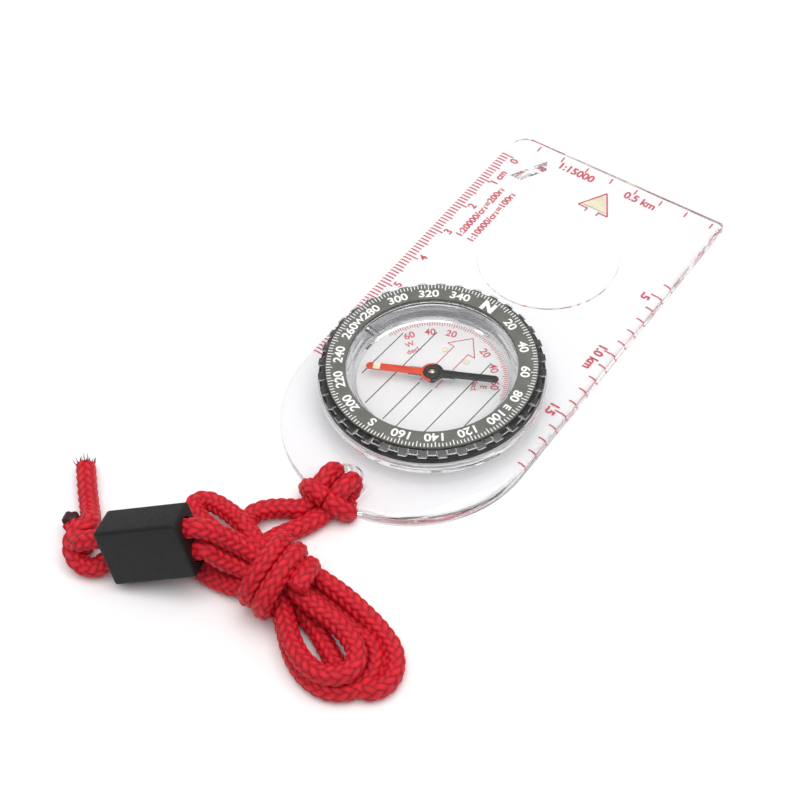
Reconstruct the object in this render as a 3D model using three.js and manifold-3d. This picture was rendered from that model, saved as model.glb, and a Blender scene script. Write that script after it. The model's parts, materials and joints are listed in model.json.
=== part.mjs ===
// Baseplate compass with a braided lanyard. Millimetres, +Z up, +Y towards the travel end.
// The origin is at the centre of the plate's box, on its underside.
import * as THREE from "three";
import { mergeVertices } from "three/addons/utils/BufferGeometryUtils.js";
import Module from "manifold-3d";

const wasm = await Module();
wasm.setup();

// Driving dimensions
const PLATE = { width: 56, length: 113.5, thickness: 3, chamfer: 0.8 };
const ROUND_END = { centreY: -29, segments: 36 };
const CORNER = { left: 4.5, right: 1 };
const DIAL_Y = -20.85;
const ROUND = 72;
const GAP = 0.3;
const FIT = 0.15;
const WELL = { radius: 18.9, rebateRadius: 20.8, rebateDepth: 1.5 };
const BOSS = { footRadius: 23.3, flangeRadius: 24.4, flangeLow: 5.7, top: 7, round: 0.25, root: 2 };
const LENS = { y: 25.1, radius: 16.2, step: 0.5, stepWidth: 0.6, crown: 1.1, root: 2 };
const STENCIL = { x: -16.9, apexY: 51.45, baseY: 42.65, halfBase: 4.9 };
const ARROW = { x: -0.2, apexY: 51.25, baseY: 44.75, halfBase: 3.9, depth: 0.6 };
const EYELET = { x: -1, y: -50, radius: 4.3 };
const RELIEF = { width: 10, length: 12, depth: 2.3 };
const BEZEL = {
  lip: 18.2, bore: 18.7, skirt: 20.2, rim: 24.2, recess: 23.45, grips: 36,
  bottom: 7.3, flangeLow: 9.2, edge: 9.5, top: 10.05, topRadius: 22.6,
};
const SCALE_RING = { inner: 18.3, outer: 22.5, low: 10.15, high: 10.8 };
const SEAT_RING = { inner: 20.5, outer: 24, low: 7.3, high: 8.9 };
const CUP = { outer: 18.4, inner: 16.4, bottom: 0.5, floor: 2.1, top: 8.1 };
const WINDOW = { radius: 18.1, low: 8.2, high: 9.5 };
const DISC = { radius: 16.1, low: 2.25, high: 2.65, hole: 0.95 };
const RETAINER = { inner: 18.55, outer: 20.5, low: 0.4, high: 1.2 };
const PIN = { radius: 0.6, foot: 1.4, shoulder: 4.5, tip: 6.2 };
const NEEDLE = { reach: 14.2, halfWidth: 1, hub: 2.6, hole: 0.95, low: 6.4, high: 6.65, bearing: 244.5 };
const MAGNET = { length: 10, width: 2.6, low: 5.55, high: 6.25 };
const CAP = { radius: 1.9, low: 6.75, high: 7.2 };
const JEWEL = { radius: 0.75, low: 5.7, high: 7.45, socket: 0.45, socketTop: 6.4 };
const STRIP = { along: 11.9, length: 1.5, width: 1.7, low: 6.75, high: 6.95 };
const DOTS = { x: 2.9, y: 8.1, radius: 0.65, low: 2.72, high: 2.95 };
const PLUG = { bearing: 279, radius: 0.85, z: 5 };
const CORD = { radius: 2.1, sides: 8 };
const BEAD = {
  length: 18.2, width: 8.1, height: 12.8, bevel: 0.5, bore: 2.45, boreZ: 2.75,
  centre: [-19.9, -89, 9.8], yaw: 27.5, pitch: -18.3, roll: -18.1,
};
const HITCH = { legs: [-3.05, 1.05], strap: { low: 0.2, high: 2, length: 11, y: -55.7 }, heart: [7, 3, 4] };
const KNOT = { centre: [2.2, -78.5, 6.5], radii: [7.6, 8.6, 6.4] };
const END_KNOT = { centre: [-33.3, -95.2, 4.6], radii: [4.2, 4.2, 4.4] };
const FOLD = { first: [-19.5, -74, 4.4], second: [-10.5, -79.3, 4.6], low: 0.1, high: 5.8, bevel: 1.6 };
const LOOPS = { first: [16.2, -80.5, 5.9], second: [26.5, -84.5, 10.2], low: 0.1, high: 8.5, bevel: 2.4 };

const model = new THREE.Group();
const dial = new THREE.Group();
dial.position.y = DIAL_Y;
const needle = new THREE.Group();
needle.rotation.z = THREE.MathUtils.degToRad(-NEEDLE.bearing);
dial.add(needle);
model.add(dial);

// Solids
function toManifold(geometry) {
  geometry.deleteAttribute("normal");
  geometry.deleteAttribute("uv");
  const merged = mergeVertices(geometry, 1e-4);
  const vertProperties = new Float32Array(merged.attributes.position.array);
  const triVerts = new Uint32Array(merged.index.array);
  return new wasm.Manifold(new wasm.Mesh({ numProp: 3, vertProperties, triVerts }));
}

function toGeometry(manifold) {
  const { vertProperties, triVerts } = manifold.getMesh();
  const geometry = new THREE.BufferGeometry();
  geometry.setAttribute("position", new THREE.BufferAttribute(new Float32Array(vertProperties), 3));
  geometry.setIndex(new THREE.BufferAttribute(new Uint32Array(triVerts), 1));
  return geometry;
}

function add(group, name, manifold, look) {
  const mesh = new THREE.Mesh(toGeometry(manifold), new THREE.MeshStandardMaterial(look));
  mesh.name = name;
  group.add(mesh);
  return mesh;
}

function moved(geometry, x, y, z) {
  return toManifold(geometry.translate(x, y, z));
}

function lathe(profile, segments = ROUND) {
  const points = [...profile, profile[0]].map(([r, z]) => new THREE.Vector2(r, z));
  const geometry = new THREE.LatheGeometry(points, segments);
  return toManifold(geometry.rotateX(Math.PI / 2));
}

function ring(inner, outer, low, high, segments = ROUND) {
  return lathe([[inner, low], [outer, low], [outer, high], [inner, high]], segments);
}

function disc(radius, low, high, segments = ROUND) {
  return lathe([[0, low], [radius, low], [radius, high], [0, high]], segments);
}

function slab(shape, low, high, curveSegments = 24) {
  const geometry = new THREE.ExtrudeGeometry(shape, { depth: high - low, bevelEnabled: false, curveSegments });
  return moved(geometry, 0, 0, low);
}

function block(width, length, height, x, y, low) {
  return moved(new THREE.BoxGeometry(width, length, height), x, y, low + height / 2);
}

function triangle(x, apexY, baseY, halfBase) {
  const shape = new THREE.Shape();
  shape.moveTo(x - halfBase, baseY);
  shape.lineTo(x + halfBase, baseY);
  shape.lineTo(x, apexY);
  shape.closePath();
  return shape;
}

function sweep(points, steps, radius = CORD.radius) {
  const section = new THREE.Shape();
  for (let i = 0; i < CORD.sides; i += 1) {
    const angle = (i / CORD.sides) * 2 * Math.PI;
    const corner = [radius * Math.cos(angle), radius * Math.sin(angle)];
    if (i === 0) section.moveTo(...corner);
    else section.lineTo(...corner);
  }
  section.closePath();
  const path = new THREE.CatmullRomCurve3(points.map((p) => new THREE.Vector3(...p)), false, "centripetal");
  return toManifold(new THREE.ExtrudeGeometry(section, { steps, extrudePath: path, bevelEnabled: false }));
}

function ellipsoid(centre, radii) {
  const geometry = new THREE.SphereGeometry(1, 16, 10).rotateX(Math.PI / 2).scale(...radii);
  return moved(geometry, ...centre);
}

function belt({ first, second, low, high, bevel }) {
  const [x1, y1, r1] = first;
  const [x2, y2, r2] = second;
  const heading = Math.atan2(y2 - y1, x2 - x1);
  const spread = Math.acos((r1 - r2) / Math.hypot(x2 - x1, y2 - y1));
  const shape = new THREE.Shape();
  shape.absarc(x2, y2, r2, heading - spread, heading + spread, false);
  shape.absarc(x1, y1, r1, heading + spread, heading + 2 * Math.PI - spread, false);
  shape.closePath();
  const geometry = new THREE.ExtrudeGeometry(shape, {
    depth: high - low - 2 * bevel, curveSegments: 8,
    bevelThickness: bevel, bevelSize: bevel, bevelOffset: -bevel, bevelSegments: 1,
  });
  return moved(geometry, 0, 0, low + bevel);
}

// Looks
const clear = (opacity) => ({ color: 0xf4f8f8, roughness: 0.05, transparent: true, opacity });
const plastic = (color, roughness) => ({ color, roughness, metalness: 0 });
const BLACK = 0x1c1d1e;
const braid = { color: 0xd01e2e, roughness: 0.85, metalness: 0 };

// Plate
function plateOutline() {
  const half = PLATE.width / 2;
  const top = PLATE.length / 2;
  const shape = new THREE.Shape();
  const depth = top + ROUND_END.centreY;
  shape.moveTo(-half, ROUND_END.centreY);
  for (let i = 1; i < ROUND_END.segments; i += 1) {
    const angle = Math.PI + (i / ROUND_END.segments) * Math.PI;
    shape.lineTo(half * Math.cos(angle), ROUND_END.centreY + depth * Math.sin(angle));
  }
  shape.lineTo(half, ROUND_END.centreY);
  shape.absarc(half - CORNER.right, top - CORNER.right, CORNER.right, 0, Math.PI / 2, false);
  shape.absarc(-half + CORNER.left, top - CORNER.left, CORNER.left, Math.PI / 2, Math.PI, false);
  shape.closePath();
  return shape;
}

function plateBlank() {
  const geometry = new THREE.ExtrudeGeometry(plateOutline(), {
    depth: PLATE.thickness, curveSegments: 8,
    bevelThickness: PLATE.chamfer, bevelSize: PLATE.chamfer, bevelOffset: -PLATE.chamfer, bevelSegments: 1,
  });
  const blank = moved(geometry, 0, 0, -PLATE.chamfer);
  return blank.intersect(block(2 * PLATE.width, 2 * PLATE.length, 2 * PLATE.thickness, 0, 0, 0));
}

function boss() {
  const { footRadius, flangeRadius, flangeLow, top, round, root } = BOSS;
  return lathe([
    [0, root], [footRadius, root], [footRadius, flangeLow], [flangeRadius - round, flangeLow],
    [flangeRadius, flangeLow + round], [flangeRadius, top - round], [flangeRadius - round, top], [0, top],
  ]).translate(0, DIAL_Y, 0);
}

function lens() {
  const base = PLATE.thickness;
  const shoulder = LENS.radius - LENS.stepWidth;
  const profile = [[0, LENS.root], [LENS.radius, LENS.root], [LENS.radius, base + LENS.step],
    [shoulder, base + LENS.step]];
  const rings = 6;
  for (let i = 1; i <= rings; i += 1) {
    const r = shoulder * (1 - i / rings);
    profile.push([r, base + LENS.step + LENS.crown * (1 - (r / shoulder) ** 2)]);
  }
  return lathe(profile).translate(0, LENS.y, 0);
}

function baseplate() {
  const well = disc(WELL.radius, -1, BOSS.top + 1).add(disc(WELL.rebateRadius, -1, WELL.rebateDepth));
  const reliefY = EYELET.y - RELIEF.length / 2;
  const relief = block(RELIEF.width, RELIEF.length, 1 + RELIEF.depth, EYELET.x, reliefY, -1);
  return plateBlank()
    .add(boss())
    .add(lens())
    .subtract(well.translate(0, DIAL_Y, 0))
    .subtract(disc(EYELET.radius, -1, 5, 32).translate(EYELET.x, EYELET.y, 0))
    .subtract(slab(triangle(STENCIL.x, STENCIL.apexY, STENCIL.baseY, STENCIL.halfBase), -1, 5))
    .subtract(slab(triangle(ARROW.x, ARROW.apexY, ARROW.baseY, ARROW.halfBase), -1, ARROW.depth))
    .subtract(relief);
}

function luminousArrow() {
  const shape = triangle(ARROW.x, ARROW.apexY - 1, ARROW.baseY + 2 * GAP, ARROW.halfBase - 0.85);
  return slab(shape, FIT, ARROW.depth - FIT);
}

// Dial
function gripOutline() {
  const shape = new THREE.Shape();
  const pitch = (2 * Math.PI) / BEZEL.grips;
  const corners = [[0.22, BEZEL.rim], [0.3, BEZEL.recess], [0.7, BEZEL.recess], [0.78, BEZEL.rim]];
  for (let i = 0; i < BEZEL.grips; i += 1) {
    corners.forEach(([fraction, radius], k) => {
      const angle = (i + fraction) * pitch;
      const point = [radius * Math.cos(angle), radius * Math.sin(angle)];
      if (i + k === 0) shape.moveTo(...point);
      else shape.lineTo(...point);
    });
  }
  shape.closePath();
  return shape;
}

function gripRing() {
  const profile = lathe([
    [BEZEL.bore, BEZEL.bottom], [BEZEL.skirt, BEZEL.bottom], [BEZEL.skirt, BEZEL.flangeLow],
    [BEZEL.rim + 1, BEZEL.flangeLow], [BEZEL.rim + 1, BEZEL.edge - GAP], [BEZEL.rim, BEZEL.edge],
    [BEZEL.topRadius, BEZEL.top], [BEZEL.lip, BEZEL.top], [BEZEL.lip, WINDOW.high + FIT],
    [BEZEL.bore, WINDOW.high + FIT],
  ]);
  return profile.intersect(slab(gripOutline(), BEZEL.bottom - 1, BEZEL.top + 1));
}

function capsuleCup() {
  const socket = PIN.radius + FIT;
  const body = lathe([
    [0, CUP.bottom], [CUP.outer, CUP.bottom], [CUP.outer, CUP.top], [CUP.inner, CUP.top],
    [CUP.inner, CUP.floor], [socket, CUP.floor], [socket, PIN.foot - 0.1], [0, PIN.foot - 0.1],
  ]);
  return body.subtract(wallPlug(PLUG.radius + FIT, CUP.inner - 1, CUP.outer + 1));
}

function wallPlug(radius, from, to) {
  const angle = THREE.MathUtils.degToRad(90 - PLUG.bearing);
  const geometry = new THREE.CylinderGeometry(radius, radius, to - from, 16)
    .rotateZ(Math.PI / 2)
    .translate((from + to) / 2, 0, PLUG.z)
    .rotateZ(angle);
  return toManifold(geometry);
}

function pivotPin() {
  return lathe([[0, PIN.foot], [PIN.radius, PIN.foot], [PIN.radius, PIN.shoulder], [0.06, PIN.tip - 0.02],
    [0, PIN.tip]], 16);
}

// Needle: its north end points along +Y of its own group
function bladeShape() {
  const { reach, halfWidth, hub } = NEEDLE;
  const split = Math.asin(FIT / hub);
  const shape = new THREE.Shape();
  shape.moveTo(hub * Math.cos(split), FIT);
  shape.absarc(0, 0, hub, split, Math.acos(halfWidth / hub), false);
  shape.lineTo(halfWidth, reach - halfWidth);
  shape.absarc(0, reach - halfWidth, halfWidth, 0, Math.PI, false);
  shape.absarc(0, 0, hub, Math.PI - Math.acos(halfWidth / hub), Math.PI - split, false);
  shape.closePath();
  return shape;
}

function blade() {
  return slab(bladeShape(), NEEDLE.low, NEEDLE.high, 12).subtract(disc(NEEDLE.hole, 6, 7, 24));
}

function jewel() {
  const { radius, low, high, socket, socketTop } = JEWEL;
  return lathe([[socket, low], [radius, low], [radius, high - GAP], [radius - GAP, high], [0, high],
    [0, socketTop]], 24);
}

// Lanyard
const beadTurn = new THREE.Euler(...[BEAD.roll, BEAD.pitch, BEAD.yaw].map(THREE.MathUtils.degToRad), "ZYX");

function beadPoint(x, z) {
  const point = new THREE.Vector3(x, 0, z).applyEuler(beadTurn).add(new THREE.Vector3(...BEAD.centre));
  return point.toArray();
}

function bead() {
  const { length, width, height, bevel, bore, boreZ } = BEAD;
  const face = new THREE.Shape();
  face.moveTo(-length / 2, -width / 2);
  face.lineTo(length / 2, -width / 2);
  face.lineTo(length / 2, width / 2);
  face.lineTo(-length / 2, width / 2);
  face.closePath();
  const body = new THREE.ExtrudeGeometry(face, {
    depth: height - 2 * bevel, bevelThickness: bevel, bevelSize: bevel, bevelOffset: -bevel, bevelSegments: 2,
  });
  const hole = new THREE.CylinderGeometry(bore, bore, length + 2, 24).rotateZ(Math.PI / 2);
  return moved(body, 0, 0, -height / 2 + bevel)
    .subtract(moved(hole.clone(), 0, 0, boreZ))
    .subtract(moved(hole, 0, 0, -boreZ));
}

const HITCH_LOBE = [[-7.6, -58.2, 2.6], [-7.2, -58.6, 4.6], [-3, -59.4, 5.4], [1, -59.9, 4.8], [4.8, -60.2, 2.6]];

function hitchLeg(x) {
  return sweep([[x, -49.6, 2.2], [x, -50.6, 4.6], [x, -53.5, 5.5], [x, -57, 5.4], [x, -59, 4.2]], 8);
}

function hitch() {
  const { legs, strap, heart } = HITCH;
  const [left, right] = legs.map(hitchLeg);
  const plug = disc(EYELET.radius - GAP - 0.1, strap.low, 4, 24).translate(EYELET.x, EYELET.y, 0);
  const width = RELIEF.width - 3 * GAP;
  return left
    .add(right)
    .add(sweep(HITCH_LOBE, 10))
    .add(plug)
    .add(block(width, strap.length, strap.high - strap.low, EYELET.x, strap.y, strap.low))
    .add(block(...heart, EYELET.x, -59.6, strap.low));
}

const LEAD_LEFT = [[-3.4, -61.9, 2.2], [-3.7, -62.8, 2.2], [-5.6, -64, 2.4], [-8, -64.8, 2.8], [-10.2, -66.2, 3],
  [-11.9, -67.8, 2.8], [-12.6, -69.3, 2.4]];
const LEAD_RIGHT = [[1.2, -62.4, 2.2], [0.9, -63.8, 2.2], [0, -65.6, 2.2], [-1.6, -68, 2.2], [-3, -70.2, 2.2]];
const TAIL_LONG = [[-36, -90.2, 4.9], [-37, -89.2, 4.4], [-38.6, -87.8, 3.3], [-40.4, -86.2, 2.4],
  [-42.2, -84.5, 2.2], [-44, -82.8, 2.2], [-45.8, -81, 2.2], [-47.6, -79.2, 2.2], [-48.8, -77.9, 2.2]];
const TAIL_SHORT = [[-38.4, -94, 3.6], [-39.6, -92.9, 3.5], [-40.7, -91.8, 3.4]];

function beadStrand(side, bend) {
  const z = side * BEAD.boreZ;
  const end = BEAD.length / 2 + 1;
  const straight = [-end, -end / 2, 0, end / 2, end].map((x) => beadPoint(x, z));
  return sweep([...straight, ...bend], 12, 2);
}

// Assembly
add(model, "baseplate", baseplate(), clear(0.3));
add(model, "luminous_arrow", luminousArrow(), plastic(0xe4e6a8, 0.6));
add(dial, "grip_ring", gripRing(), clear(0.35));
add(dial, "scale_ring", ring(SCALE_RING.inner, SCALE_RING.outer, SCALE_RING.low, SCALE_RING.high),
  plastic(0x66665f, 0.45));
add(dial, "seat_ring", ring(SEAT_RING.inner, SEAT_RING.outer, SEAT_RING.low, SEAT_RING.high),
  plastic(BLACK, 0.5));
add(dial, "capsule_cup", capsuleCup(), clear(0.3));
add(dial, "capsule_window", disc(WINDOW.radius, WINDOW.low, WINDOW.high), clear(0.25));
add(dial, "orienting_disc", ring(DISC.hole, DISC.radius, DISC.low, DISC.high), clear(0.4));
add(dial, "retaining_ring", ring(RETAINER.inner, RETAINER.outer, RETAINER.low, RETAINER.high), clear(0.5));
add(dial, "filler_plug", wallPlug(PLUG.radius, CUP.inner + 0.1, CUP.outer - 0.1), plastic(0x9a9a9a, 0.5));
add(dial, "pivot_pin", pivotPin(), { color: 0xb8babd, roughness: 0.25, metalness: 1 });
for (const [name, side] of [["luminous_dot_left", -1], ["luminous_dot_right", 1]]) {
  const dot = disc(DOTS.radius, DOTS.low, DOTS.high, 20).translate(side * DOTS.x, DOTS.y, 0);
  add(dial, name, dot, plastic(0xefe9c0, 0.6));
}
add(needle, "needle_north", blade(), plastic(0xd83a22, 0.4));
add(needle, "needle_south", blade().rotate([0, 0, 180]), plastic(BLACK, 0.4));
add(needle, "needle_magnet",
  block(MAGNET.width, MAGNET.length, MAGNET.high - MAGNET.low, 0, 0, MAGNET.low)
    .subtract(disc(NEEDLE.hole, 5, 7, 24)),
  { color: 0x6d6f72, roughness: 0.4, metalness: 1 });
add(needle, "hub_cap", ring(JEWEL.radius + FIT, CAP.radius, CAP.low, CAP.high, 24), plastic(BLACK, 0.35));
add(needle, "jewel_bearing", jewel(), { color: 0xb7a77e, roughness: 0.2, metalness: 0.3 });
add(needle, "luminous_strip", block(STRIP.width, STRIP.length, STRIP.high - STRIP.low, 0, STRIP.along, STRIP.low),
  plastic(0xf0e2b4, 0.6));
add(model, "lanyard_hitch", hitch(), braid);
add(model, "lanyard_lead_left", sweep(LEAD_LEFT, 10), braid);
add(model, "lanyard_lead_right", sweep(LEAD_RIGHT, 8), braid);
add(model, "lanyard_knot", ellipsoid(KNOT.centre, KNOT.radii), braid);
add(model, "lanyard_fold", belt(FOLD), braid);
add(model, "lanyard_loops", belt(LOOPS), braid);
add(model, "lanyard_strand_upper", beadStrand(1, [[-8.6, -83, 13.6], [-6.6, -81.4, 11.8]]), braid);
add(model, "lanyard_strand_lower", beadStrand(-1, [[-9.2, -84.3, 9], [-6.8, -82.9, 7.6]]), braid);
const beadMesh = add(model, "cord_bead", bead(), plastic(0x232423, 0.7));
beadMesh.position.set(...BEAD.centre);
beadMesh.rotation.copy(beadTurn);
add(model, "lanyard_end_knot", ellipsoid(END_KNOT.centre, END_KNOT.radii), braid);
add(model, "lanyard_tail_long", sweep(TAIL_LONG, 10), braid);
add(model, "lanyard_tail_short", sweep(TAIL_SHORT, 4, 1.7), braid);

export default model;
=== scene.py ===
"""Looks of the baseplate compass: acrylic plate, printed scales, liquid capsule, needle and lanyard."""
import json
import math

import bmesh
import bpy
import numpy as np
from mathutils import Matrix, Vector


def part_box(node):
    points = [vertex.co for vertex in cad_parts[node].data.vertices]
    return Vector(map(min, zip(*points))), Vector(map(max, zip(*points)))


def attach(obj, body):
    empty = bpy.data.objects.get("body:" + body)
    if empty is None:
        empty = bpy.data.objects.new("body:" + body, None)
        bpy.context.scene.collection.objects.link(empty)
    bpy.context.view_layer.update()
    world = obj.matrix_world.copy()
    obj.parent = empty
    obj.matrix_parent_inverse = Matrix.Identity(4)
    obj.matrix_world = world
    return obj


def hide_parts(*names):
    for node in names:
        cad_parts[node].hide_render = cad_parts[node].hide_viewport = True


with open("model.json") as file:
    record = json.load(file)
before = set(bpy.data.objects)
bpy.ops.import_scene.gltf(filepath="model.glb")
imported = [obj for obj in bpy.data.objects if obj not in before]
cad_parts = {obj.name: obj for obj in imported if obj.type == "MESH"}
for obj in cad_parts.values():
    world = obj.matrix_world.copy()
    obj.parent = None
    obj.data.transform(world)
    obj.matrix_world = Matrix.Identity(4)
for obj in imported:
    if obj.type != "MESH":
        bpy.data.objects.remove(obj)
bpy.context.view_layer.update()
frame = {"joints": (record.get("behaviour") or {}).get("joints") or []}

MM = 0.001
PLATE_LOW, PLATE_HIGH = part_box("baseplate")
DIAL = Vector(frame["joints"][0]["pos_m"])
RING_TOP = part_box("scale_ring")[1].z
DISC_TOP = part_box("orienting_disc")[1].z
CORD_RADIUS = 2.1 * MM
ACRYLIC_INDEX = 1.49
LIQUID_INDEX = 1.44
DIAL_BEARING = 3.3
SMOOTH_ANGLE = 35

LENS_LENGTH = 80.7
SENSOR_WIDTH = 36
CLIP_START = 0.01
CAMERA_PLACE = Vector((144.93, -218.21, 299.42)) * MM
CAMERA_RIGHT = Vector((0.8146, 0.5789, -0.0364))
CAMERA_UP = Vector((-0.4306, 0.6456, 0.6307))
CAMERA_BACK = Vector((0.3886, -0.4981, 0.7752))

KEY_PLACE = Vector((0.15, -0.1, 1.0))
KEY_TARGET = Vector((0, -0.02, 0))
KEY_SIZE = 1.0
KEY_POWER = 8.6
KEY_COLOUR = (1.0, 0.99, 0.97)
ROOM_STRENGTH = 0.68
ROOM_BY_HEIGHT = [(0.0, 0.3), (0.22, 0.6), (0.55, 1.0)]
WALL_HEADING = (0.35, -0.93, 0.0)
WALL_BY_FACING = [(0.5, 1.0), (0.8, 0.03)]

FLOOR_SIZE = 3.0
FLOOR_DROP = 0.05 * MM
FLOOR_COLOUR = (0.93, 0.93, 0.945, 1)


# --- camera and light

def new_object(name, data):
    obj = bpy.data.objects.new(name, data)
    bpy.context.scene.collection.objects.link(obj)
    return obj


def make_camera():
    data = bpy.data.cameras.new("camera")
    data.sensor_width = SENSOR_WIDTH
    data.lens = LENS_LENGTH
    data.clip_start = CLIP_START
    camera = new_object("camera", data)
    turn = Matrix((CAMERA_RIGHT, CAMERA_UP, CAMERA_BACK)).transposed()
    camera.matrix_world = Matrix.Translation(CAMERA_PLACE) @ turn.to_4x4()
    bpy.context.scene.camera = camera


def make_key_light():
    """A broad soft box overhead, kept clear of the place that the flat plate mirrors to the camera."""
    data = bpy.data.lights.new("key", "AREA")
    data.shape = "RECTANGLE"
    data.size = KEY_SIZE
    data.size_y = KEY_SIZE
    data.energy = KEY_POWER
    data.color = KEY_COLOUR
    light = new_object("key", data)
    light.rotation_euler = (KEY_TARGET - KEY_PLACE).to_track_quat("-Z", "Y").to_euler()
    light.location = KEY_PLACE


def make_room():
    """A pale room that is dimmer low down, with a dark wall on the side where the lanyard lies."""
    world = bpy.data.worlds.new("studio")
    bpy.context.scene.world = world
    world.use_nodes = True
    nodes = world.node_tree.nodes
    links = world.node_tree.links
    coordinate = nodes.new("ShaderNodeTexCoord")
    heights = nodes.new("ShaderNodeSeparateXYZ")
    links.new(coordinate.outputs["Generated"], heights.inputs[0])
    room = world_ramp(nodes, ROOM_BY_HEIGHT)
    links.new(heights.outputs["Z"], room.inputs[0])
    facing = nodes.new("ShaderNodeVectorMath")
    facing.operation = "DOT_PRODUCT"
    facing.inputs[1].default_value = WALL_HEADING
    links.new(coordinate.outputs["Generated"], facing.inputs[0])
    wall = world_ramp(nodes, WALL_BY_FACING)
    links.new(facing.outputs["Value"], wall.inputs[0])
    both = nodes.new("ShaderNodeMix")
    both.data_type = "RGBA"
    both.blend_type = "MULTIPLY"
    both.inputs["Factor"].default_value = 1.0
    links.new(room.outputs[0], both.inputs["A"])
    links.new(wall.outputs[0], both.inputs["B"])
    links.new(both.outputs["Result"], nodes["Background"].inputs["Color"])
    nodes["Background"].inputs["Strength"].default_value = ROOM_STRENGTH


def world_ramp(nodes, stops):
    """Grey levels by position, with a trace of blue."""
    ramp = nodes.new("ShaderNodeValToRGB")
    while len(ramp.color_ramp.elements) < len(stops):
        ramp.color_ramp.elements.new(0.5)
    for element, (position, level) in zip(ramp.color_ramp.elements, stops):
        element.position = position
        element.color = (level, level, min(1.0, level * 1.02), 1)
    return ramp


def make_floor():
    bpy.ops.mesh.primitive_plane_add(size=FLOOR_SIZE, location=(0, 0, -FLOOR_DROP))
    floor = bpy.context.object
    floor.name = "floor"
    material, shader = new_material("floor_white")
    set_inputs(shader, {"Base Color": FLOOR_COLOUR, "Roughness": 0.9, "Specular IOR Level": 0.1})
    floor.data.materials.append(material)


# --- materials

def new_material(name):
    material = bpy.data.materials.new(name)
    material.use_nodes = True
    shader = material.node_tree.nodes["Principled BSDF"]
    return material, shader


def set_inputs(shader, values):
    for name, value in values.items():
        shader.inputs[name].default_value = value


def add_node(material, kind, **values):
    node = material.node_tree.nodes.new(kind)
    for key, value in values.items():
        socket = node.inputs.get(key)
        if socket is not None:
            socket.default_value = value
        else:
            setattr(node, key, value)
    return node


def link(material, source, target):
    material.node_tree.links.new(source, target)


def object_noise(material, scale, detail):
    coordinate = add_node(material, "ShaderNodeTexCoord")
    noise = add_node(material, "ShaderNodeTexNoise", Scale=scale, Detail=detail)
    link(material, coordinate.outputs["Object"], noise.inputs["Vector"])
    return noise.outputs["Fac"]


def bump_from(material, height, strength, distance):
    bump = add_node(material, "ShaderNodeBump", Strength=strength, Distance=distance)
    link(material, height, bump.inputs["Height"])
    return bump.outputs["Normal"]


def ramp_of(material, factor, stops):
    ramp = add_node(material, "ShaderNodeValToRGB")
    elements = ramp.color_ramp.elements
    while len(elements) < len(stops):
        elements.new(0.5)
    for element, (position, colour) in zip(elements, stops):
        element.position = position
        element.color = (*colour, 1)
    link(material, factor, ramp.inputs["Fac"])
    return ramp.outputs["Color"]


def vary(material, scale, detail, low, high, socket):
    """Lets noise drive a socket from a low colour to a high one."""
    noise = object_noise(material, scale, detail)
    link(material, ramp_of(material, noise, [(0.3, low), (0.7, high)]), socket)


def see_through(material, clear, shadow):
    """Shadow rays and scattered light go straight through; only what is looked at is refracted."""
    through = add_node(material, "ShaderNodeBsdfTransparent")
    through.inputs["Color"].default_value = (shadow, shadow, shadow * 1.005, 1)
    path = add_node(material, "ShaderNodeLightPath")
    shaded = add_node(material, "ShaderNodeMixShader")
    link(material, path.outputs["Is Diffuse Ray"], shaded.inputs[0])
    link(material, clear, shaded.inputs[1])
    link(material, through.outputs[0], shaded.inputs[2])
    mix = add_node(material, "ShaderNodeMixShader")
    link(material, path.outputs["Is Shadow Ray"], mix.inputs[0])
    link(material, shaded.outputs[0], mix.inputs[1])
    link(material, through.outputs[0], mix.inputs[2])
    link(material, mix.outputs[0], material.node_tree.nodes["Material Output"].inputs["Surface"])


def clear_material(name, tint, ior, shadow):
    """Clear plastic with a slightly wavy surface and faint smears."""
    material, shader = new_material(name)
    set_inputs(shader, {"Base Color": (*tint, 1), "Transmission Weight": 1.0, "IOR": ior})
    waves = object_noise(material, 90.0, 2.0)
    link(material, bump_from(material, waves, 0.02, 0.4 * MM), shader.inputs["Normal"])
    smears = object_noise(material, 240.0, 4.0)
    link(material, ramp_of(material, smears, [(0.45, (0.0,) * 3), (0.8, (0.05,) * 3)]),
         shader.inputs["Roughness"])
    see_through(material, shader.outputs[0], shadow)
    return material


def immersed_material(name, tint, ratio):
    """A clear body inside another clear body: its index is the ratio of the two."""
    material = bpy.data.materials.new(name)
    material.use_nodes = True
    nodes = material.node_tree.nodes
    nodes.remove(nodes["Principled BSDF"])
    glass = add_node(material, "ShaderNodeBsdfGlass", IOR=ratio, Roughness=0.0)
    glass.inputs["Color"].default_value = (*tint, 1)
    haze = object_noise(material, 60.0, 2.0)
    link(material, bump_from(material, haze, 0.01, 0.2 * MM), glass.inputs["Normal"])
    see_through(material, glass.outputs[0], 1.0)
    return material


def milky_material(name):
    """The disc's faintly milky plastic, which hides what lies under the capsule."""
    material, shader = new_material(name)
    vary(material, 500.0, 3.0, (0.97, 0.97, 0.975), (0.985, 0.985, 0.985), shader.inputs["Base Color"])
    set_inputs(shader, {"Transmission Weight": 0.2, "IOR": 1.05, "Roughness": 0.4})
    return material


def print_material(name, colour, worn):
    """Pad-printed ink: a little uneven, and paler at its thin spots."""
    material, shader = new_material(name)
    speckle = object_noise(material, 3500.0, 3.0)
    link(material, ramp_of(material, speckle, [(0.3, worn), (0.62, colour)]), shader.inputs["Base Color"])
    shader.inputs["Roughness"].default_value = 0.55
    return material


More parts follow.
